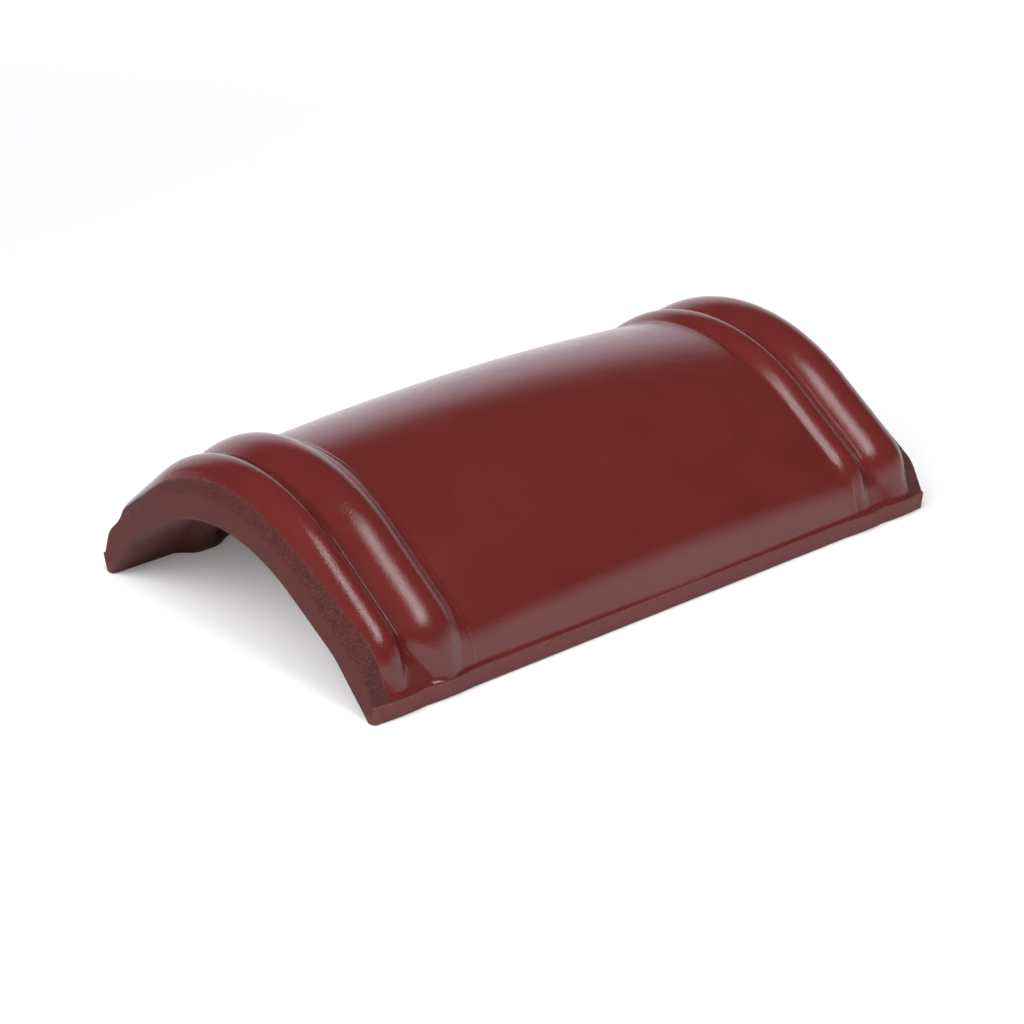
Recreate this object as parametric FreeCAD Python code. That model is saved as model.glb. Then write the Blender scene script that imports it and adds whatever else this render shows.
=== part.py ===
import FreeCAD, Part
import math
import os

V = FreeCAD.Vector

# Overall sizes, in millimetres and degrees
tile_length = 420.0      # along the ridge, end face to end face
foot_width = 284.0       # across the outer bottom edges of the two feet
wall = 16.0              # fired wall of the body

# Body section, from the crown down to one foot
body_height = 101.0      # crown of the body where it meets the ribs
body_bow = 6.0           # rise of the body's crown from the ribs to the middle
body_radius = 144.0      # round crown
body_flank = 35.5        # straight flanks
body_bend = 34.0         # bend from flank to skirt
body_skirt = 79.0        # steep skirt above the foot

# Foot ledge, the raw band under the skirt
ledge_height = 11.5      # top of the band above the floor
ledge_step = 2.6         # how far the band stands out from the skirt
ledge_draft = 2.4        # how far its top overhangs its bottom edge
swell_radius = 17.0      # round swelling of the band at each rib
swell_rise = 2.0         # how far that swelling stands out

# Pair of ribs across each end
rib_radius = 15.0        # round crests
rib_inset = 19.5         # end face to the first crest
rib_pitch = 31.5         # first crest to second crest
rib_lift = 7.0           # crest line of the pair above the body
rib_uneven = 1.8         # second crest above that line, first crest below it
rib_root = 22.0          # how deep the pair is rooted below that line
groove_depth = 15.5      # groove between the crests, below that line

# Collar under the ribs, a plainer arch that shows at the end face
collar_height = 88.5
collar_radius = 152.0
collar_flank = 34.5
collar_bend = 20.0
collar_skirt = 64.0

# Mouth under each end, an arch that flares towards the feet
mouth_height = 71.0
mouth_roundness = 0.465  # its crown radius as a share of the foot width
mouth_flank = 31.5
mouth_bend = 53.0
mouth_skirt = 46.0
mouth_sole = 8.0         # width of the sole left under each foot

# Stop rib at the back of each mouth
stop_inset = 45.0        # end face to the stop rib
stop_width = 20.0        # stop rib along the ridge
stop_rise = 6.0          # how far it stands into the mouth

# How far cutting bodies run past what they cut
past = 20.0

half_length = tile_length / 2.0
half_foot = foot_width / 2.0
ledge_half = half_foot + ledge_draft
skirt_half = ledge_half - ledge_step
outer_rib = half_length - rib_inset
inner_rib = outer_rib - rib_pitch
stop_face = half_length - stop_inset
body_half = inner_rib - math.sqrt(rib_radius ** 2 - (rib_radius - rib_lift - rib_uneven) ** 2)
bow_radius = (body_half ** 2 + body_bow ** 2) / (2.0 * body_bow)


def straight(start, end):
    return Part.LineSegment(start, end).toShape()


def arch(height, radius, flank_slope, bend, skirt_slope, half_width, level):
    """Arch given by its crown, its slopes and the place of its foot: middles and slopes of its arcs."""
    flank = math.radians(flank_slope)
    skirt = math.radians(skirt_slope)
    run = half_width - radius * math.sin(flank) - bend * (math.sin(skirt) - math.sin(flank))
    fall = height - level - radius * (1.0 - math.cos(flank)) - bend * (math.cos(flank) - math.cos(skirt))
    flank_length = (run * math.sin(skirt) - fall * math.cos(skirt)) / math.sin(skirt - flank)
    crown_centre = V(0, 0, height - radius)
    out_flank = V(0, math.sin(flank), math.cos(flank))
    down_flank = V(0, math.cos(flank), -math.sin(flank))
    bend_centre = crown_centre + out_flank * (radius - bend) + down_flank * flank_length
    return {
        "radius": radius, "crown_centre": crown_centre, "flank": flank,
        "bend": bend, "bend_centre": bend_centre, "skirt": skirt,
    }


def half_line(shape, inset, lift):
    """Points of an arch from its crown to below the floor, set in from its outside and lifted."""
    def around(centre, radius, slope):
        out = V(0, math.sin(slope), math.cos(slope))
        return centre + V(0, 0, lift) + out * (radius - inset)

    flank, skirt = shape["flank"], shape["skirt"]
    skirt_top = around(shape["bend_centre"], shape["bend"], skirt)
    drop = (skirt_top.z + past) / math.sin(skirt)
    return {
        "crown": around(shape["crown_centre"], shape["radius"], 0.0),
        "flank_top": around(shape["crown_centre"], shape["radius"], flank),
        "flank_end": around(shape["bend_centre"], shape["bend"], flank),
        "bend": around(shape["bend_centre"], shape["bend"], 0.5 * (flank + skirt)),
        "skirt_top": skirt_top,
        "skirt_end": skirt_top + V(0, math.cos(skirt), -math.sin(skirt)) * drop,
    }


def arch_line(shape, inset, lift):
    """Open line of an arch from one foot over the crown to the other."""
    right = half_line(shape, inset, lift)
    left = {name: V(0, -point.y, point.z) for name, point in right.items()}
    return [
        straight(left["skirt_end"], left["skirt_top"]),
        Part.Arc(left["skirt_top"], left["bend"], left["flank_end"]).toShape(),
        straight(left["flank_end"], left["flank_top"]),
        Part.Arc(left["flank_top"], right["crown"], right["flank_top"]).toShape(),
        straight(right["flank_top"], right["flank_end"]),
        Part.Arc(right["flank_end"], right["bend"], right["skirt_top"]).toShape(),
        straight(right["skirt_top"], right["skirt_end"]),
    ]


def arch_face(shape, inset, lift):
    line = arch_line(shape, inset, lift)
    sole = straight(line[-1].Vertexes[-1].Point, line[0].Vertexes[0].Point)
    return Part.Face(Part.Wire(line + [sole]))


body = arch(body_height, body_radius, body_flank, body_bend, body_skirt, skirt_half, ledge_height)
collar = arch(collar_height, collar_radius, collar_flank, collar_bend, collar_skirt, skirt_half, ledge_height)
mouth_radius = mouth_roundness * foot_width
mouth = arch(mouth_height, mouth_radius, mouth_flank, mouth_bend, mouth_skirt, half_foot - mouth_sole, 0.0)


def slab(low_x, high_x, low_z):
    """Block over the tile's width, from one level up."""
    half_width = ledge_half + past
    top = body_height + rib_lift + rib_uneven + past
    return Part.makeBox(high_x - low_x, 2.0 * half_width, top - low_z, V(low_x, -half_width, low_z))


def bowed(inset, half_reach):
    """The body's section turned about a far axis below, so that its crown bows along the ridge."""
    axis = V(0, 0, body_height + body_bow - bow_radius)
    half_turn = math.degrees(math.asin((half_reach + past) / bow_radius))
    face = arch_face(body, inset, body_bow)
    face.rotate(axis, V(0, 1, 0), -half_turn)
    turned = face.revolve(axis, V(0, 1, 0), 2.0 * half_turn)
    return turned.common(slab(-half_reach, half_reach, -past))


def straight_length(shape, inset, start, end):
    """Straight length of an arch along the ridge."""
    face = arch_face(shape, inset, 0.0)
    face.translate(V(start, 0, 0))
    return face.extrude(V(end - start, 0, 0))


def rib_pair(side):
    """Two round crests with a groove between them, carried over the body's section."""
    path = arch_line(body, rib_root, rib_lift)
    foot = path[0].Vertexes[0].Point
    out = V(0, -math.sin(body["skirt"]), math.cos(body["skirt"]))

    def at(x, level):
        return foot + V(side * x, 0, 0) + out * (rib_root + level)

    outer_middle = -rib_uneven - rib_radius
    inner_middle = rib_uneven - rib_radius
    outer_reach = math.sqrt(rib_radius ** 2 - (groove_depth + outer_middle) ** 2)
    inner_reach = math.sqrt(rib_radius ** 2 - (groove_depth + inner_middle) ** 2)
    outer_side = at(outer_rib + rib_radius, outer_middle)
    outer_groove = at(outer_rib - outer_reach, -groove_depth)
    inner_groove = at(inner_rib + inner_reach, -groove_depth)
    inner_side = at(inner_rib - rib_radius, inner_middle)
    outer_root = at(outer_rib + rib_radius, -rib_root)
    inner_root = at(inner_rib - rib_radius, -rib_root)
    profile = Part.Wire([
        straight(outer_root, outer_side),
        Part.Arc(outer_side, at(outer_rib, -rib_uneven), outer_groove).toShape(),
        straight(outer_groove, inner_groove),
        Part.Arc(inner_groove, at(inner_rib, rib_uneven), inner_side).toShape(),
        straight(inner_side, inner_root),
        straight(inner_root, outer_root),
    ])
    return Part.Wire(path).makePipe(Part.Face(profile))


def upper():
    """Glazed outside above the foot ledge."""
    solid = bowed(0.0, inner_rib)
    for side in (-1, 1):
        solid = solid.fuse([
            straight_length(collar, 0.0, side * inner_rib, side * half_length),
            rib_pair(side),
        ])
    return solid.common(slab(-half_length, half_length, ledge_height))


def ledge():
    """Raw foot band with straight bottom edges, swelling at the ribs."""
    outline = [
        V(-half_length, -half_foot, 0),
        V(-half_length, half_foot, 0),
        V(-half_length, ledge_half, ledge_height),
        V(-half_length, -ledge_half, ledge_height),
    ]
    band = Part.Face(Part.makePolygon(outline + outline[:1])).extrude(V(tile_length, 0, 0))
    reach = ledge_half + swell_rise - swell_radius
    low_radius = swell_radius - ledge_draft - 2.0 * swell_rise
    swells = []
    for x in (-outer_rib, -inner_rib, inner_rib, outer_rib):
        for y in (-reach, reach):
            swells.append(Part.makeCone(low_radius, swell_radius, ledge_height, V(x, y, 0)))
    return band.fuse(swells)


def hollow():
    """Space under the arch: bowed between the stop ribs, a lower mouth outside them."""
    stop_back = stop_face - stop_width
    space = bowed(wall, stop_back)
    for side in (-1, 1):
        space = space.fuse([
            straight_length(mouth, stop_rise, side * stop_back, side * stop_face),
            straight_length(mouth, 0.0, side * stop_face, side * (half_length + past)),
        ])
    return space


def ridge_tile():
    return upper().fuse(ledge()).cut(hollow()).removeSplitter()


os.makedirs("parts", exist_ok=True)
tile = ridge_tile()
print("solids", len(tile.Solids), "valid", tile.isValid(), "volume", round(tile.Volume), "box", tile.BoundBox)
tile.Solids[0].exportStep("parts/ridge_tile.step")
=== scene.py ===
import bpy
import bmesh
import math
from mathutils import Matrix, Vector


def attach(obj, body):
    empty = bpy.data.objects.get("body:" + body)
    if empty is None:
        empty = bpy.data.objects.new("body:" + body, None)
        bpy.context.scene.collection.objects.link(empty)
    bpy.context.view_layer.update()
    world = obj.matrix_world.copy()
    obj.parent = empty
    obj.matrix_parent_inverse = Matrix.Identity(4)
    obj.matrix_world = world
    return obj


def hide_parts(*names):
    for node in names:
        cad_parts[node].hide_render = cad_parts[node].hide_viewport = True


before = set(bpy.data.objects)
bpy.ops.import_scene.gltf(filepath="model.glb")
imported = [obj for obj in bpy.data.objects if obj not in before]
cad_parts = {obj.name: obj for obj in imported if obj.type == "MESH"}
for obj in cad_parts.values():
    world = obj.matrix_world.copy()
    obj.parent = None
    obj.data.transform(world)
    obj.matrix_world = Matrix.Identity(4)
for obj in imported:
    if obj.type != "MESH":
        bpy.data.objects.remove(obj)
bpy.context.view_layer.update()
scene = bpy.context.scene
millimetre = 0.001
print("frame loaded", sorted(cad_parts))


# small helpers that place nodes and wire them

def addNode(tree, kind, label="", **settings):
    node = tree.nodes.new(kind)
    node.label = label
    for name, value in settings.items():
        setattr(node, name, value)
    return node


def feed(tree, socket, value):
    if isinstance(value, bpy.types.NodeSocket):
        tree.links.new(value, socket)
    else:
        socket.default_value = value


def calc(tree, operation, *values):
    node = addNode(tree, "ShaderNodeMath", operation=operation)
    for socket, value in zip(node.inputs, values):
        feed(tree, socket, value)
    return node.outputs[0]


def square(tree, value):
    return calc(tree, "MULTIPLY", value, value)


def ramp(tree, value, fromLow, fromHigh, toLow=0.0, toHigh=1.0):
    node = addNode(tree, "ShaderNodeMapRange", interpolation_type="SMOOTHSTEP")
    for socket, given in zip(node.inputs, (value, fromLow, fromHigh, toLow, toHigh)):
        feed(tree, socket, given)
    return node.outputs[0]


def blend(tree, factor, first, second, kind="RGBA"):
    node = addNode(tree, "ShaderNodeMix", data_type=kind)
    feed(tree, node.inputs["Factor"], factor)
    feed(tree, node.inputs["A"], first)
    feed(tree, node.inputs["B"], second)
    return node.outputs["Result"]


def blendValue(tree, factor, first, second):
    return blend(tree, factor, first, second, "FLOAT")


def noise(tree, where, scale, detail=2.0, rough=0.5):
    node = addNode(tree, "ShaderNodeTexNoise", noise_dimensions="3D")
    feed(tree, node.inputs["Vector"], where)
    feed(tree, node.inputs["Scale"], scale)
    feed(tree, node.inputs["Detail"], detail)
    feed(tree, node.inputs["Roughness"], rough)
    return node.outputs[0]


# tile shape: a section, lengths along the ridge and shares
tileSizes = {
    # millimetres and degrees
    "section": {
        "footWidth": 284.0,
        "wall": 16.0,
        "body": {"height": 101.0, "radius": 144.0, "flank": 35.5, "bend": 34.0, "skirt": 79.0},
        "collar": {"height": 88.5, "radius": 152.0, "flank": 34.5, "bend": 20.0, "skirt": 64.0},
        "mouth": {"height": 71.0, "radius": 132.06, "flank": 31.5, "bend": 53.0, "skirt": 46.0},
        "mouthSole": 8.0,         # sole left under each foot at the mouth
        "ledgeHeight": 11.5,      # raw band under the skirt
        "ledgeStep": 2.6,
        "ledgeDraft": 2.4,
        "edgeRound": 1.2,         # worn corners of the band
        "spacing": 3.3,           # points around the section
    },
    # millimetres, each an input of the node tree
    "lengths": {
        "length": 420.0,
        "bodyBow": 6.0,           # rise of the crown to the middle
        "bodySink": -30.0,        # the body is out of the way under the ribs
        "bodyStart": 2.0,         # and comes up from just before the inner crest
        "bodyFull": 6.0,          # to just past it
        "swellRise": 2.0,         # band swells at each rib
        "ribRadius": 15.0,
        "ribInset": 19.5,
        "ribPitch": 31.5,
        "ribLift": 7.0,           # crest line of the pair above the body
        "ribUneven": 1.8,         # second rib above that line, first rib below it
        "farUneven": -0.8,        # second rib at the far end
        "ribZone": 75.0,          # length of each end that carries the ribs
        "crestRadius": 8.0,       # first rib on its groove side
        "broadRadius": 26.0,      # second rib on its groove side
        "grooveInset": 29.6,
        "grooveDepth": 9.0,       # on the flanks
        "grooveBlend": 3.0,       # softness of the groove
        "grooveLip": 0.35,        # fine lips beside the groove
        "grooveLipPlace": 2.4,
        "grooveLipWidth": 1.4,
        "valleyBlend": 2.0,       # softness between rib and body
        "softBlend": 6.0,         # and at the far end
        "coveEnd": 69.0,          # shallow strip between inner rib and body
        "coveLip": 0.40,          # fine lines along its edges
        "creaseWidth": 1.6,
        "coveWidth": 1.2,
        "noseReach": 7.5,         # where the raw bevel runs into the outer rib
        "noseRound": 2.2,         # worn rim of the end faces
        "stopInset": 45.0,        # inner stop rib
        "stopWidth": 20.0,
        "stopRise": 6.0,
        "stopEase": 2.0,          # short and long reach of its rounded sides
        "stopRun": 6.0,
        "vaultRun": 4.0,
        "stopFoot": 30.0,         # below this it is broader and meets a thinner sole
        "footRun": 12.0,
        "footTail": 18.0,
        "warp": 0.35,             # unevenness left by pressing and firing
    },
    # plain numbers, each an input of the node tree
    "shares": {
        "rows": 311,              # rows along the ridge
        "ribShare": 0.71,         # share of the rows spent on the ribs
        "wallSlope": 1.35,        # straight wall from the first rib into the groove
        "skirtSlope": 0.16,       # no groove down the skirts, a plain slope to the second rib
        "skirtCosine": 0.0,       # the groove fades out from flank to skirt
        "flankCosine": 0.80,
        "coveSlope": 0.34,
        "noseHollow": 1.4,        # 1 for a straight bevel, more for a hollow one
        "footRise": 1.6,          # foot of the stop rib against its crown
        "warpScale": 14.0,
    },
}
sectionNames = ("across", "up", "sine", "cosine", "layer", "lip", "end")


def archOf(shape, halfWidth, level):
    # crown arc, straight flank, bend and straight skirt that ends at the given foot
    flank, skirt = math.radians(shape["flank"]), math.radians(shape["skirt"])
    radius, bend = shape["radius"], shape["bend"]
    run = halfWidth - radius * math.sin(flank) - bend * (math.sin(skirt) - math.sin(flank))
    rounds = radius * (1.0 - math.cos(flank)) + bend * (math.cos(flank) - math.cos(skirt))
    fall = shape["height"] - level - rounds
    straight = (run * math.sin(skirt) - fall * math.cos(skirt)) / math.sin(skirt - flank)
    foot = (fall - straight * math.sin(flank)) / math.sin(skirt)
    walk = radius * flank + straight + bend * (skirt - flank) + foot
    return dict(shape, flank=flank, skirt=skirt, straight=straight, walk=walk)


def archAt(arch, walked):
    # place and slope after walking down from the crown
    radius, bend, flank, skirt = (arch[name] for name in ("radius", "bend", "flank", "skirt"))
    slope = min(walked / radius, flank)
    across, up = radius * math.sin(slope), arch["height"] - radius * (1.0 - math.cos(slope))
    rest = max(walked - radius * flank, 0.0)
    straight = min(rest, arch["straight"])
    across, up = across + straight * math.cos(flank), up - straight * math.sin(flank)
    rest = rest - straight
    turned = min(slope + rest / bend, skirt) if rest > 0.0 else slope
    across += bend * (math.sin(turned) - math.sin(slope))
    up -= bend * (math.cos(slope) - math.cos(turned))
    rest = max(rest - bend * (skirt - flank), 0.0)
    return across + rest * math.cos(skirt), up - rest * math.sin(skirt), turned


def halve(low, high, isBefore, rounds=36):
    # place between two limits up to which a test holds
    for halving in range(rounds):
        middle = (low + high) / 2.0
        if isBefore(middle):
            low = middle
        else:
            high = middle
    return low


def archLevel(arch, across):
    # height of an arch at a distance from the middle
    walked = halve(0.0, 2.0 * arch["walk"], lambda walk: archAt(arch, walk)[0] < across)
    return archAt(arch, walked)[1]


def depthTo(arch, across, up, slope):
    # distance from a point straight into the wall, down to another arch
    def isAbove(depth):
        level = archLevel(arch, abs(across - depth * math.sin(slope)))
        return up - depth * math.cos(slope) > level

    return halve(-20.0, 30.0, isAbove, 30)


def wornCorner(before, corner, after, reach):
    # three points that round off a corner
    start = corner + (before - corner).normalized() * reach
    end = corner + (after - corner).normalized() * reach
    return [start, (start + 2.0 * corner + end) / 4.0, end]


def halfSection(sizes):
    # one half of the section, from the crown over the foot and back up inside
    halfFoot = sizes["footWidth"] / 2.0
    ledgeHalf = halfFoot + sizes["ledgeDraft"]
    skirtHalf = ledgeHalf - sizes["ledgeStep"]
    ledge, wall = sizes["ledgeHeight"], sizes["wall"]
    body = archOf(sizes["body"], skirtHalf, ledge)
    collar = archOf(sizes["collar"], skirtHalf, ledge)
    mouth = archOf(sizes["mouth"], halfFoot - sizes["mouthSole"], 0.0)
    points = []

    def keep(*values):
        points.append(dict(zip(sectionNames, values)))

    # glazed side, with its distance to the collar
    steps = math.ceil(body["walk"] / sizes["spacing"])
    for step in range(steps + 1):
        across, up, slope = archAt(body, body["walk"] * step / steps)
        toCollar = -depthTo(collar, across, up, slope)
        keep(across, up, math.sin(slope), math.cos(slope), 1.0, 0.0, toCollar)

    # foot band and sole
    tip, low = Vector((ledgeHalf, ledge)), Vector((halfFoot, 0.0))
    soleHalf = skirtHalf + (ledge / math.tan(body["skirt"])) - wall / math.sin(body["skirt"])
    for across, up in wornCorner(Vector((skirtHalf, ledge)), tip, low, sizes["edgeRound"]):
        keep(across, up, 1.0, 0.0, 0.0, 1.0, 0.0)
    for across, up in wornCorner(tip, low, Vector((soleHalf, 0.0)), sizes["edgeRound"]):
        keep(across, up, 1.0, 0.0, 0.0, 0.4, 0.0)
    keep(soleHalf, 0.0, 1.0, 0.0, -1.0, 0.0, soleHalf - halfFoot + sizes["mouthSole"])

    # underside, with its distance to the mouth
    walk = body["walk"] + (ledge - wall * math.cos(body["skirt"])) / math.sin(body["skirt"])
    steps = math.ceil(walk / sizes["spacing"])
    for step in range(steps - 1, -1, -1):
        across, up, slope = archAt(body, walk * step / steps)
        across, up = across - wall * math.sin(slope), up - wall * math.cos(slope)
        toMouth = depthTo(mouth, across, up, slope)
        keep(across, up, math.sin(slope), math.cos(slope), -1.0, 0.0, toMouth)
    return points


def sectionMesh(sizes):
    half = halfSection(sizes)
    ring = half + [dict(point, across=-point["across"]) for point in half[-2:0:-1]]
    mesh = bpy.data.meshes.new("tileSection")
    places = [(0.0, point["across"] * millimetre, point["up"] * millimetre) for point in ring]
    mesh.from_pydata(places, [(i, (i + 1) % len(ring)) for i in range(len(ring))], [])
    lengths = ("across", "up", "end")
    for name in sectionNames:
        scale = millimetre if name in lengths else 1.0
        attribute = mesh.attributes.new(name, "FLOAT", "POINT")
        for item, point in zip(attribute.data, ring):
            item.value = point[name] * scale
    return mesh


def readAttribute(tree, name):
    node = addNode(tree, "GeometryNodeInputNamedAttribute", name, data_type="FLOAT")
    node.inputs["Name"].default_value = name
    return node.outputs["Attribute"]


def keepAttribute(tree, geometry, name, value):
    node = addNode(tree, "GeometryNodeStoreNamedAttribute", name, data_type="FLOAT", domain="POINT")
    node.inputs["Name"].default_value = name
    feed(tree, node.inputs["Geometry"], geometry)
    feed(tree, node.inputs["Value"], value)
    return node.outputs["Geometry"]


def ridgeLine(tree, size):
    # rows along the ridge, closer together at the ribs
    line = addNode(tree, "GeometryNodeCurvePrimitiveLine")
    line.inputs["Start"].default_value = (-1.0, 0.0, 0.0)
    line.inputs["End"].default_value = (1.0, 0.0, 0.0)
    rows = addNode(tree, "GeometryNodeResampleCurve")
    feed(tree, rows.inputs["Curve"], line.outputs[0])
    feed(tree, rows.inputs["Count"], size["rows"])
    apart = addNode(tree, "ShaderNodeSeparateXYZ")
    feed(tree, apart.inputs[0], addNode(tree, "GeometryNodeInputPosition").outputs[0])
    step = calc(tree, "ABSOLUTE", apart.outputs["X"])
    bodyShare = calc(tree, "SUBTRACT", 1.0, size["ribShare"])
    bodyLength = calc(tree, "SUBTRACT", size["halfLength"], size["ribZone"])
    inBody = calc(tree, "MINIMUM", calc(tree, "DIVIDE", step, bodyShare), 1.0)
    inRibs = calc(tree, "MAXIMUM", calc(tree, "SUBTRACT", step, bodyShare), 0.0)
    inRibs = calc(tree, "DIVIDE", inRibs, size["ribShare"])
    reach = calc(tree, "MULTIPLY", inBody, bodyLength)
    reach = calc(tree, "ADD", reach, calc(tree, "MULTIPLY", inRibs, size["ribZone"]))
    along = calc(tree, "MULTIPLY", reach, calc(tree, "SIGN", apart.outputs["X"]))
    return keepAttribute(tree, rows.outputs[0], "along", along)


def roundBar(tree, fromEnd, middle, radius, fallBeside=3.0):
    # height of a round bar below its crest, falling away steeply beside it
    off = calc(tree, "SUBTRACT", fromEnd, middle)
    inside = calc(tree, "SUBTRACT", square(tree, radius), square(tree, off))
    level = calc(tree, "SUBTRACT", calc(tree, "SQRT", calc(tree, "MAXIMUM", inside, 0.0)), radius)
    beside = calc(tree, "MAXIMUM", calc(tree, "SUBTRACT", calc(tree, "ABSOLUTE", off), radius), 0.0)
    return calc(tree, "SUBTRACT", level, calc(tree, "MULTIPLY", beside, fallBeside))


def grooveSide(tree, along, size):
    # first rib from its crest into the groove: a tight round, then a straight wall
    off = calc(tree, "MAXIMUM", calc(tree, "SUBTRACT", along, size["ribInset"]), 0.0)
    slope, radius = size["wallSlope"], size["crestRadius"]
    steep = calc(tree, "SQRT", calc(tree, "MULTIPLY_ADD", slope, slope, 1.0))
    steep = calc(tree, "DIVIDE", slope, steep)
    bent = calc(tree, "MINIMUM", off, calc(tree, "MULTIPLY", radius, steep))
    inside = calc(tree, "SUBTRACT", square(tree, radius), square(tree, bent))
    level = calc(tree, "SUBTRACT", calc(tree, "SQRT", inside), radius)
    wall = calc(tree, "MULTIPLY", calc(tree, "SUBTRACT", off, bent), slope)
    return calc(tree, "SUBTRACT", level, wall)


def fineLine(tree, value, middle, halfWidth, height):
    # narrow raised line where a value passes its middle
    off = calc(tree, "ABSOLUTE", calc(tree, "SUBTRACT", value, middle))
    return ramp(tree, off, 0.0, halfWidth, height, 0.0)


def ribPair(tree, fromEnd, far, cosine, size):
    # low tight rib, groove, high broad rib: the same way round at both ends of the tile
    firstRib, secondRib, radius = size["ribInset"], size["secondRib"], size["ribRadius"]
    noLimit = 1.0                 # a metre off, past any end of the tile
    pair = calc(tree, "MULTIPLY", size["ribLift"], cosine)
    lowCrest = calc(tree, "SUBTRACT", pair, size["ribUneven"])
    highCrest = calc(tree, "ADD", pair, blendValue(tree, far, size["ribUneven"], size["farUneven"]))
    flank = ramp(tree, cosine, size["skirtCosine"], size["flankCosine"])
    broad = blendValue(tree, flank, radius, size["broadRadius"])

    # counted from the end of the first rib, and level where the raw bevel takes over
    both = calc(tree, "ADD", firstRib, secondRib)
    along = blendValue(tree, far, fromEnd, calc(tree, "SUBTRACT", both, fromEnd))
    nearest = blendValue(tree, far, size["noseReach"], -noLimit)
    furthest = blendValue(tree, far, noLimit, calc(tree, "SUBTRACT", both, size["noseReach"]))
    before = calc(tree, "MINIMUM", calc(tree, "MAXIMUM", along, nearest), firstRib)
    between = calc(tree, "MINIMUM", along, secondRib)
    after = calc(tree, "MAXIMUM", calc(tree, "MINIMUM", along, furthest), secondRib)
    first = calc(tree, "ADD", lowCrest, roundBar(tree, before, firstRib, radius))
    first = calc(tree, "ADD", first, grooveSide(tree, along, size))
    second = calc(tree, "ADD", highCrest, roundBar(tree, between, secondRib, broad))
    second = calc(tree, "ADD", second, roundBar(tree, after, secondRib, radius))
    ribs = calc(tree, "SMOOTH_MAX", first, second, size["grooveBlend"])

    # slope that fills the groove down the skirts, sunk out of the way beside the pair
    fall = calc(tree, "MULTIPLY", calc(tree, "SUBTRACT", along, firstRib), size["skirtSlope"])
    side = calc(tree, "SUBTRACT", lowCrest, calc(tree, "ABSOLUTE", fall))
    side = calc(tree, "SUBTRACT", side, calc(tree, "MULTIPLY", flank, size["grooveDepth"]))
    side = calc(tree, "SUBTRACT", side, calc(tree, "LESS_THAN", along, firstRib))
    side = calc(tree, "SUBTRACT", side, calc(tree, "GREATER_THAN", along, secondRib))
    ribs = calc(tree, "SMOOTH_MAX", ribs, side, size["grooveBlend"])
    fromGroove = calc(tree, "ABSOLUTE", calc(tree, "SUBTRACT", along, size["grooveInset"]))
    lip = calc(tree, "MULTIPLY", size["grooveLip"], flank)
    lip = fineLine(tree, fromGroove, size["grooveLipPlace"], size["grooveLipWidth"], lip)
    return calc(tree, "ADD", ribs, lip)


def outsideRise(tree, fromEnd, far, bow, cosine, collar, size):
    # how far the glazed side stands out from the plain section
    ribs = ribPair(tree, fromEnd, far, cosine, size)
    nose = calc(tree, "MINIMUM", calc(tree, "DIVIDE", fromEnd, size["noseReach"]), 1.0)
    nose = calc(tree, "POWER", calc(tree, "MAXIMUM", nose, 0.0), size["noseHollow"])
    overCollar = calc(tree, "MULTIPLY", calc(tree, "SUBTRACT", ribs, collar), nose)
    ribs = calc(tree, "ADD", collar, overCollar)

    # bowed body, with the shallow strip beside the near inner rib
    start = calc(tree, "SUBTRACT", size["secondRib"], size["bodyStart"])
    end = calc(tree, "ADD", size["secondRib"], size["bodyFull"])
    body = calc(tree, "MULTIPLY", bow, cosine)
    body = calc(tree, "ADD", body, ramp(tree, fromEnd, start, end, size["bodySink"], 0.0))
    near = calc(tree, "SUBTRACT", 1.0, far)
    toCove = calc(tree, "SUBTRACT", size["coveEnd"], fromEnd)
    cove = calc(tree, "MULTIPLY", calc(tree, "MAXIMUM", toCove, 0.0), size["coveSlope"])
    cove = calc(tree, "MULTIPLY", cove, near)
    body = calc(tree, "ADD", body, calc(tree, "MULTIPLY", cove, cosine))

    plain = calc(tree, "MAXIMUM", body, collar)
    soft = blendValue(tree, far, size["valleyBlend"], size["softBlend"])
    rise = calc(tree, "SMOOTH_MAX", ribs, plain, soft)
    crease = calc(tree, "ABSOLUTE", calc(tree, "SUBTRACT", ribs, body))
    lip = calc(tree, "MULTIPLY", size["coveLip"], near)
    rise = calc(tree, "ADD", rise, fineLine(tree, crease, 0.0, size["creaseWidth"], lip))
    return calc(tree, "ADD", rise, fineLine(tree, toCove, 0.0, size["coveWidth"], lip))


def insideDrop(tree, fromEnd, bow, cosine, mouth, up, size):
    # how far the underside stands into the hollow: mouth, stop rib, vault
    stopBack = calc(tree, "ADD", size["stopInset"], size["stopWidth"])
    footBack = calc(tree, "ADD", stopBack, size["stopWidth"])
    low = ramp(tree, up, size["stopFoot"], 0.0)

    def step(place, before, after):
        start = calc(tree, "SUBTRACT", place, size[before])
        return ramp(tree, fromEnd, start, calc(tree, "ADD", place, size[after]))

    inVault = step(stopBack, "vaultRun", "stopEase")
    onStop = calc(tree, "SUBTRACT", step(size["stopInset"], "stopEase", "stopRun"), inVault)
    onFoot = step(size["stopInset"], "stopEase", "footRun")
    onFoot = calc(tree, "SUBTRACT", onFoot, step(footBack, "footTail", "stopEase"))
    onFoot = calc(tree, "MULTIPLY", onFoot, size["footRise"])
    stop = calc(tree, "MULTIPLY", size["stopRise"], blendValue(tree, low, onStop, onFoot))
    ceiling = calc(tree, "MULTIPLY", calc(tree, "MULTIPLY", bow, -1.0), cosine)
    inVault = calc(tree, "MULTIPLY", inVault, calc(tree, "SUBTRACT", 1.0, low))
    return calc(tree, "ADD", stop, blendValue(tree, inVault, mouth, ceiling))


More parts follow.
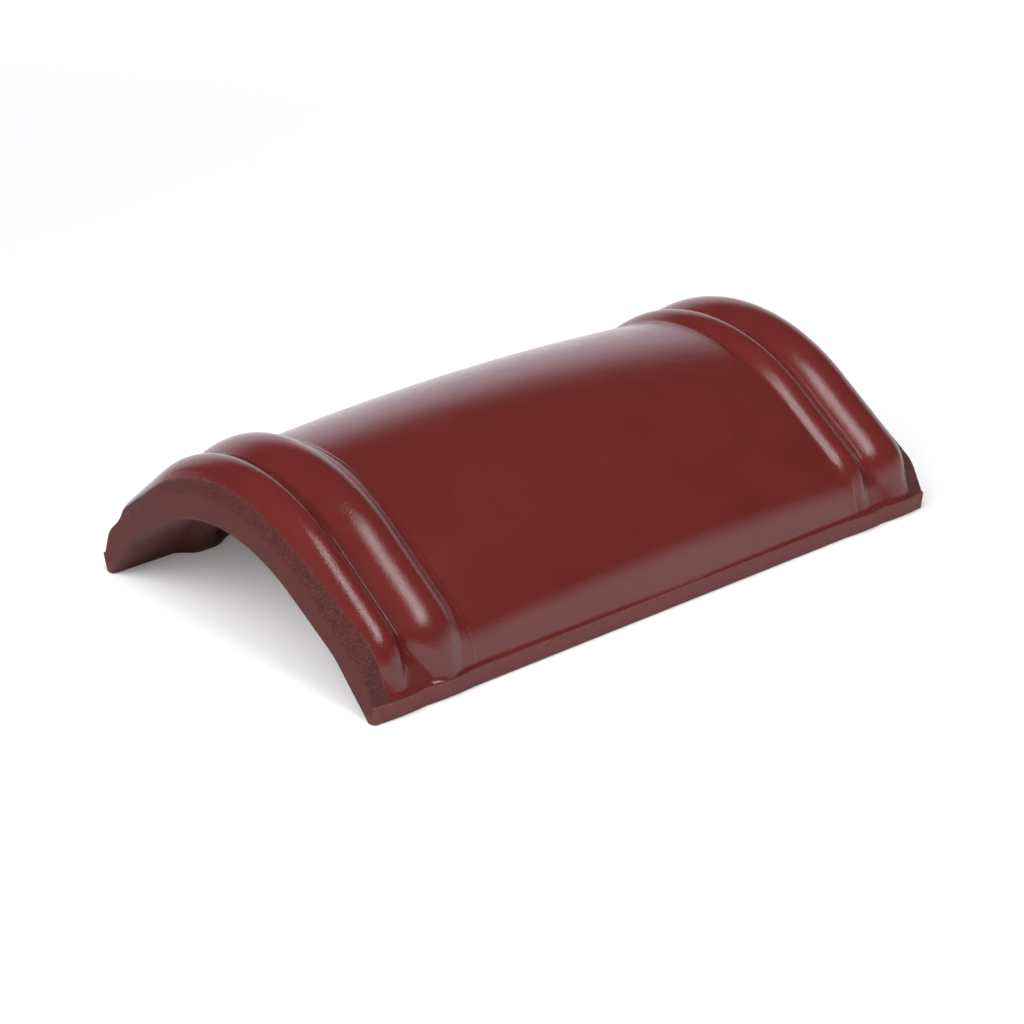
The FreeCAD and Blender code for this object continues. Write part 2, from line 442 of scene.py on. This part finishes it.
def ledgeSwell(tree, fromEnd, size):
    # the band follows the two ribs outwards
    radius, middles = size["ribRadius"], (size["ribInset"], size["secondRib"])
    bars = [roundBar(tree, fromEnd, middle, radius) for middle in middles]
    level = calc(tree, "ADD", calc(tree, "MAXIMUM", *bars), radius)
    share = calc(tree, "MAXIMUM", calc(tree, "DIVIDE", level, radius), 0.0)
    return calc(tree, "MULTIPLY", square(tree, share), size["swellRise"])


def crownBow(tree, along, size):
    # rise of the body between the ribs
    ribEnd = calc(tree, "ADD", size["secondRib"], size["ribRadius"])
    share = calc(tree, "DIVIDE", along, calc(tree, "SUBTRACT", size["halfLength"], ribEnd))
    return calc(tree, "MULTIPLY", size["bodyBow"], calc(tree, "SUBTRACT", 1.0, square(tree, share)))


def wornRim(tree, fromEnd, size):
    # how far the rim of the end faces is rounded off
    short = calc(tree, "SUBTRACT", 1.0, calc(tree, "DIVIDE", fromEnd, size["noseRound"]))
    short = calc(tree, "MAXIMUM", short, 0.0)
    level = calc(tree, "SUBTRACT", 1.0, square(tree, short))
    level = calc(tree, "SQRT", calc(tree, "MAXIMUM", level, 0.0))
    return calc(tree, "MULTIPLY", size["noseRound"], calc(tree, "SUBTRACT", 1.0, level))


def slowWarp(tree, along, across, up, size):
    spot = addNode(tree, "ShaderNodeCombineXYZ")
    for socket, value in zip(spot.inputs, (along, across, up)):
        feed(tree, socket, value)
    uneven = calc(tree, "SUBTRACT", noise(tree, spot.outputs[0], size["warpScale"]), 0.5)
    return calc(tree, "MULTIPLY", uneven, size["warp"])


def tileTree(given, material):
    tree = bpy.data.node_groups.new("ridgeTileShape", "GeometryNodeTree")
    tree.is_modifier = True
    face = tree.interface
    face.new_socket("Section", in_out="INPUT", socket_type="NodeSocketGeometry")
    size = {}
    source = addNode(tree, "NodeGroupInput")
    result = addNode(tree, "NodeGroupOutput")
    for name in given:
        kind = "NodeSocketInt" if name == "rows" else "NodeSocketFloat"
        face.new_socket(name, in_out="INPUT", socket_type=kind)
        size[name] = source.outputs[name]
    face.new_socket("Tile", in_out="OUTPUT", socket_type="NodeSocketGeometry")
    size["halfLength"] = calc(tree, "MULTIPLY", size["length"], 0.5)
    size["secondRib"] = calc(tree, "ADD", size["ribInset"], size["ribPitch"])

    section = addNode(tree, "GeometryNodeMeshToCurve")
    feed(tree, section.inputs["Mesh"], source.outputs["Section"])
    swept = addNode(tree, "GeometryNodeCurveToMesh", "carry section along ridge")
    feed(tree, swept.inputs["Curve"], ridgeLine(tree, size))
    feed(tree, swept.inputs["Profile Curve"], section.outputs[0])
    swept.inputs["Fill Caps"].default_value = True

    along = readAttribute(tree, "along")
    across, up, sine, cosine, layer, lip, endLevel = (readAttribute(tree, name) for name in sectionNames)
    outside = calc(tree, "MAXIMUM", layer, 0.0)
    inside = calc(tree, "MAXIMUM", calc(tree, "MULTIPLY", layer, -1.0), 0.0)
    fromEnd = calc(tree, "SUBTRACT", size["halfLength"], calc(tree, "ABSOLUTE", along))
    far = calc(tree, "GREATER_THAN", along, 0.0)
    bow = crownBow(tree, along, size)
    rise = outsideRise(tree, fromEnd, far, bow, cosine, endLevel, size)
    drop = insideDrop(tree, fromEnd, bow, cosine, endLevel, up, size)
    worn = wornRim(tree, fromEnd, size)
    uneven = slowWarp(tree, along, across, up, size)

    # glazed side and band pushed out, underside pulled in, along the section's normal
    push = calc(tree, "MULTIPLY", calc(tree, "ADD", rise, uneven), outside)
    push = calc(tree, "ADD", push, calc(tree, "MULTIPLY", ledgeSwell(tree, fromEnd, size), lip))
    wornOutside = calc(tree, "MULTIPLY", worn, calc(tree, "SUBTRACT", 1.0, inside))
    push = calc(tree, "SUBTRACT", push, wornOutside)
    pull = calc(tree, "SUBTRACT", calc(tree, "ADD", drop, uneven), worn)
    move = calc(tree, "SUBTRACT", push, calc(tree, "MULTIPLY", pull, inside))
    sideways = calc(tree, "MULTIPLY", calc(tree, "MULTIPLY", move, sine), calc(tree, "SIGN", across))
    upward = calc(tree, "MULTIPLY", move, cosine)
    place = addNode(tree, "ShaderNodeCombineXYZ")
    feed(tree, place.inputs[0], along)
    feed(tree, place.inputs[1], calc(tree, "ADD", across, sideways))
    feed(tree, place.inputs[2], calc(tree, "MAXIMUM", calc(tree, "ADD", up, upward), 0.0))
    moved = addNode(tree, "GeometryNodeSetPosition", "ribs, bow and underside")
    feed(tree, moved.inputs["Geometry"], swept.outputs[0])
    feed(tree, moved.inputs["Position"], place.outputs[0])

    smooth = addNode(tree, "GeometryNodeSetShadeSmooth")
    feed(tree, smooth.inputs["Geometry"], keepAttribute(tree, moved.outputs[0], "glazedSide", outside))
    real = addNode(tree, "GeometryNodeRealizeInstances")
    feed(tree, real.inputs[0], smooth.outputs[0])
    coated = addNode(tree, "GeometryNodeSetMaterial")
    feed(tree, coated.inputs["Geometry"], real.outputs[0])
    coated.inputs["Material"].default_value = material
    feed(tree, result.inputs[0], coated.outputs[0])
    return tree


def buildTile(sizes, material):
    tile = bpy.data.objects.new("ridgeTileGlazed", sectionMesh(sizes["section"]))
    scene.collection.objects.link(tile)
    given = {name: value * millimetre for name, value in sizes["lengths"].items()}
    given.update(sizes["shares"])
    tree = tileTree(given, material)
    modifier = tile.modifiers.new("tileShape", "NODES")
    modifier.node_group = tree
    for item in tree.interface.items_tree:
        if item.item_type == "SOCKET" and item.in_out == "INPUT" and item.name in given:
            modifier[item.identifier] = given[item.name]
    bpy.context.view_layer.update()
    evaluated = tile.evaluated_get(bpy.context.evaluated_depsgraph_get())
    mesh = bpy.data.meshes.new_from_object(evaluated)
    tile.modifiers.remove(modifier)
    tile.data = mesh

    # close the seams at the end faces
    mergeDistance = 0.02 * millimetre
    work = bmesh.new()
    work.from_mesh(mesh)
    bmesh.ops.remove_doubles(work, verts=work.verts, dist=mergeDistance)
    bmesh.ops.recalc_face_normals(work, faces=work.faces)
    work.to_mesh(mesh)
    work.free()
    return tile


# glaze and raw clay, colours as they render under plain light
clayFinish = {
    "glaze": (0.1390, 0.0212, 0.0202, 1.0),
    "glazeDeep": (0.1240, 0.0182, 0.0172, 1.0),
    "raw": (0.1120, 0.0238, 0.0198, 1.0),           # end faces and underside
    "rawDeep": (0.0780, 0.0168, 0.0140, 1.0),
    "bevel": (0.1080, 0.0270, 0.0235, 1.0),         # gritty bevel beside the glaze
    "bevelDeep": (0.0460, 0.0125, 0.0110, 1.0),
    "band": (0.1747, 0.0462, 0.0428, 1.0),          # foot band, painted paler as if lit more
    "bandDeep": (0.1386, 0.0370, 0.0336, 1.0),
    "glazeRough": 0.11,
    "roughSpread": 0.03,      # patches a little more or less glossy
    "rawRough": 0.80,
    "rimStart": 0.2,          # millimetres of worn rim on the end face
    "rimWidth": 1.2,
    "glazeLine": 5.0,         # millimetres from the end face, at the crown
    "glazeFoot": 11.5,        # and at the feet
    "glazeFade": 0.8,         # softness of that line
    "wanderReach": 1.6,       # how far it wanders
    "speckReach": 4.0,        # and breaks up
    "grain": {"scale": 900.0, "detail": 3.0, "rough": 0.7},
    "mottle": {"scale": 160.0, "detail": 4.0, "rough": 0.65},
    "mottleShare": 0.15,
    "wander": {"scale": 240.0, "detail": 3.0, "rough": 0.6},
    "speck": {"scale": 1500.0, "detail": 1.0},
    "cloud": {"scale": 22.0, "detail": 3.0},
    "patch": {"scale": 60.0, "detail": 3.0},
    "peel": {"scale": 1100.0, "detail": 2.0, "rough": 0.7},
    "peelHeight": 0.385,
    "drawn": {"scale": 420.0, "detail": 2.0},
    "drawnStretch": (0.3, 1.0, 1.0),
    "drawnHeight": 0.035,
    "bumpStrength": 0.6,
    "bumpDistance": 0.6,      # millimetres
}


def clayMaterial(finish, sizes):
    material = bpy.data.materials.new("glazedClay")
    material.use_nodes = True
    tree = material.node_tree
    shader = tree.nodes["Principled BSDF"]
    place = addNode(tree, "ShaderNodeTexCoord").outputs["Object"]
    apart = addNode(tree, "ShaderNodeSeparateXYZ")
    feed(tree, apart.inputs[0], place)
    halfLength = sizes["lengths"]["length"] / 2.0 * millimetre
    fromEnd = calc(tree, "SUBTRACT", halfLength, calc(tree, "ABSOLUTE", apart.outputs["X"]))
    glazed = addNode(tree, "ShaderNodeAttribute", attribute_name="glazedSide").outputs["Fac"]
    foot = addNode(tree, "ShaderNodeAttribute", attribute_name="lip").outputs["Fac"]

    # glaze stops on a fine uneven line short of the end faces
    wander = calc(tree, "SUBTRACT", noise(tree, place, **finish["wander"]), 0.5)
    speck = calc(tree, "SUBTRACT", noise(tree, place, **finish["speck"]), 0.5)
    line = calc(tree, "MULTIPLY_ADD", wander, finish["wanderReach"] * millimetre, fromEnd)
    line = calc(tree, "MULTIPLY_ADD", speck, finish["speckReach"] * millimetre, line)
    crown = sizes["section"]["body"]["height"] * millimetre
    atFoot, atCrown = finish["glazeFoot"] * millimetre, finish["glazeLine"] * millimetre
    edge = ramp(tree, apart.outputs["Z"], 0.0, crown, atFoot, atCrown)
    fade = finish["glazeFade"] * millimetre
    coat = ramp(tree, calc(tree, "SUBTRACT", line, edge), -fade, fade)
    coat = calc(tree, "MULTIPLY", coat, ramp(tree, glazed, 0.55, 0.95))

    # raw clay: smooth end faces, gritty bevel, foot band painted paler as if lit more, darker line at
    # its top
    grain = noise(tree, place, **finish["grain"])
    mottle = noise(tree, place, **finish["mottle"])
    grit = ramp(tree, blendValue(tree, finish["mottleShare"], grain, mottle), 0.40, 0.60)
    bevel = ramp(tree, fromEnd, finish["rimStart"] * millimetre, finish["rimWidth"] * millimetre)
    bevel = calc(tree, "MULTIPLY", bevel, ramp(tree, glazed, 0.3, 0.7))
    endColour = blend(tree, grit, finish["rawDeep"], finish["raw"])
    bevelColour = blend(tree, grit, finish["bevelDeep"], finish["bevel"])
    # foot band colour painted paler than the other raw clay, standing in for more light on the band
    litBandColour = blend(tree, grit, finish["bandDeep"], finish["band"])
    rawColour = blend(tree, bevel, endColour, bevelColour)
    rawColour = blend(tree, ramp(tree, foot, 0.05, 0.35), rawColour, litBandColour)
    # darker line along the top of the foot band, where it meets the glazed skirt
    bandTopDark = calc(tree, "MULTIPLY", ramp(tree, foot, 0.1, 0.4), ramp(tree, glazed, 0.05, 0.35))
    rawColour = blend(tree, bandTopDark, rawColour, finish["bevelDeep"])

    # glaze: slow clouds of colour, patches of gloss
    cloud = ramp(tree, noise(tree, place, **finish["cloud"]), 0.3, 0.7)
    glazeColour = blend(tree, cloud, finish["glazeDeep"], finish["glaze"])
    feed(tree, shader.inputs["Base Color"], blend(tree, coat, rawColour, glazeColour))
    patch = noise(tree, place, **finish["patch"])
    glossy, dull = (finish["glazeRough"] + side * finish["roughSpread"] for side in (-1, 1))
    patch = ramp(tree, patch, 0.3, 0.7, glossy, dull)
    feed(tree, shader.inputs["Roughness"], blendValue(tree, coat, finish["rawRough"], patch))

    # fine peel in the glaze, partly drawn out along the ridge, and coarse grain in the clay
    drawn = addNode(tree, "ShaderNodeMapping")
    feed(tree, drawn.inputs["Vector"], place)
    drawn.inputs["Scale"].default_value = finish["drawnStretch"]
    streak = noise(tree, drawn.outputs[0], **finish["drawn"])
    peel = calc(tree, "MULTIPLY", noise(tree, place, **finish["peel"]), finish["peelHeight"])
    peel = calc(tree, "MULTIPLY_ADD", streak, finish["drawnHeight"], peel)
    bump = addNode(tree, "ShaderNodeBump")
    bump.inputs["Strength"].default_value = finish["bumpStrength"]
    bump.inputs["Distance"].default_value = finish["bumpDistance"] * millimetre
    feed(tree, bump.inputs["Height"], blendValue(tree, coat, grain, peel))
    feed(tree, shader.inputs["Normal"], bump.outputs[0])
    return material


clay = clayMaterial(clayFinish, tileSizes)
tile = buildTile(tileSizes, clay)
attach(tile, "root")
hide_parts("ridge_tile")
print("tile built", len(tile.data.polygons), "faces")


# floor and light, in metres
studio = {
    "floorSize": 60.0,
    "floorLevel": -0.0002,                # a hair below the feet
    "floorColour": (0.90, 0.90, 0.91, 1.0),
    "floorGlow": 0.15,
    "world": 0.02,
    "daylight": 2.7,
    "daylightAim": (0.72, 0.15, -0.78),
    "daylightSpread": 60.0,               # degrees, for soft shadows
    "panels": {
        # high in front: streaks down the ribs
        "frontPanel": {
            "place": (-0.25, -0.75, 1.45), "aim": (0.0, 0.0, 0.05),
            "wide": 0.60, "tall": 1.1, "radiance": 6.8,
        },
        # low behind: pale reflection along the crown, ending in a brighter strip
        "backPanel": {
            "place": (1.52, 1.56, 0.56), "aim": (0.0, 0.0, 0.56),
            "wide": 5.6, "tall": 1.12, "radiance": 0.95, "tint": (0.97, 0.96, 1.06),
        },
        "topStrip": {
            "place": (1.50, 1.54, 0.99), "aim": (0.0, 0.0, 0.99),
            "wide": 5.6, "tall": 0.26, "radiance": 0.50,
        },
        # low at the side: pale skirt
        "sidePanel": {
            "place": (1.3, -1.8, 0.25), "aim": (0.0, 0.0, 0.25),
            "wide": 2.6, "tall": 0.5, "radiance": 0.8,
        },
    },
}


def whiteFloor(setup):
    mesh = bpy.data.meshes.new("studioFloor")
    half, level = setup["floorSize"] / 2.0, setup["floorLevel"]
    corners = [(x * half, y * half, level) for x, y in ((-1, -1), (1, -1), (1, 1), (-1, 1))]
    mesh.from_pydata(corners, [], [(0, 1, 2, 3)])
    floor = bpy.data.objects.new("studioFloor", mesh)
    scene.collection.objects.link(floor)
    material = bpy.data.materials.new("floorPaper")
    material.use_nodes = True
    tree = material.node_tree
    shader = tree.nodes["Principled BSDF"]
    shader.inputs["Base Color"].default_value = setup["floorColour"]
    shader.inputs["Roughness"].default_value = 1.0
    shader.inputs["Specular IOR Level"].default_value = 0.0
    shader.inputs["Emission Color"].default_value = (1.0, 1.0, 1.0, 1.0)
    path = addNode(tree, "ShaderNodeLightPath")
    seen = calc(tree, "MAXIMUM", path.outputs["Is Camera Ray"], path.outputs["Is Glossy Ray"])
    seen = calc(tree, "MAXIMUM", seen, path.outputs["Is Transmission Ray"])
    feed(tree, shader.inputs["Emission Strength"], calc(tree, "MULTIPLY", seen, setup["floorGlow"]))
    mesh.materials.append(material)


def softPanel(name, place, aim, wide, tall, radiance, tint=(1.0, 1.0, 1.0)):
    lamp = bpy.data.lights.new(name, "AREA")
    lamp.color = tint
    lamp.shape = "RECTANGLE"
    lamp.size, lamp.size_y = wide, tall
    lamp.energy = radiance * math.pi * wide * tall     # watts that give this radiance
    panel = bpy.data.objects.new(name, lamp)
    panel.location = place
    panel.rotation_euler = (Vector(aim) - Vector(place)).to_track_quat("-Z", "Y").to_euler()
    scene.collection.objects.link(panel)


def broadLight(setup):
    lamp = bpy.data.lights.new("broadLight", "SUN")
    lamp.energy = setup["daylight"]
    lamp.angle = math.radians(setup["daylightSpread"])
    sky = bpy.data.objects.new("broadLight", lamp)
    sky.rotation_euler = Vector(setup["daylightAim"]).to_track_quat("-Z", "Y").to_euler()
    sky.visible_glossy = False       # even light only, the panels make the reflections
    scene.collection.objects.link(sky)


def roomWorld(strength):
    world = bpy.data.worlds.new("room")
    world.use_nodes = True
    back = world.node_tree.nodes["Background"]
    back.inputs["Color"].default_value = (1.0, 1.0, 1.0, 1.0)
    back.inputs["Strength"].default_value = strength
    scene.world = world


whiteFloor(studio)
roomWorld(studio["world"])
broadLight(studio)
for panelName, panelSetup in studio["panels"].items():
    softPanel(panelName, **panelSetup)
print("floor and light set")


# camera at the photo's place
view = {
    "azimuth": -37.12,
    "elevation": 23.009,
    "roll": -3.15,
    "target": (-0.032745, -0.039609, 0.040),
    "distance": 1.5470,
    "lens": 91.50,
}


def photoCamera(place):
    camera = bpy.data.cameras.new("photoCamera")
    camera.lens = place["lens"]
    camera.sensor_width = 36.0
    turn, tilt, roll = (math.radians(place[name]) for name in ("azimuth", "elevation", "roll"))
    level = Vector((math.cos(turn), math.sin(turn), 0.0))
    ahead = Vector((-math.sin(turn), math.cos(turn), 0.0))
    top = Vector((0.0, 0.0, 1.0))
    rise = math.sin(tilt) * ahead + math.cos(tilt) * top
    look = math.cos(tilt) * ahead - math.sin(tilt) * top
    right = math.cos(roll) * level + math.sin(roll) * rise
    above = math.cos(roll) * rise - math.sin(roll) * level
    item = bpy.data.objects.new("photoCamera", camera)
    eye = Vector(place["target"]) - look * place["distance"]
    item.matrix_world = Matrix.Translation(eye) @ Matrix((right, above, -look)).transposed().to_4x4()
    scene.collection.objects.link(item)
    scene.camera = item


photoCamera(view)
scene.view_settings.view_transform = "Standard"
print("camera set")
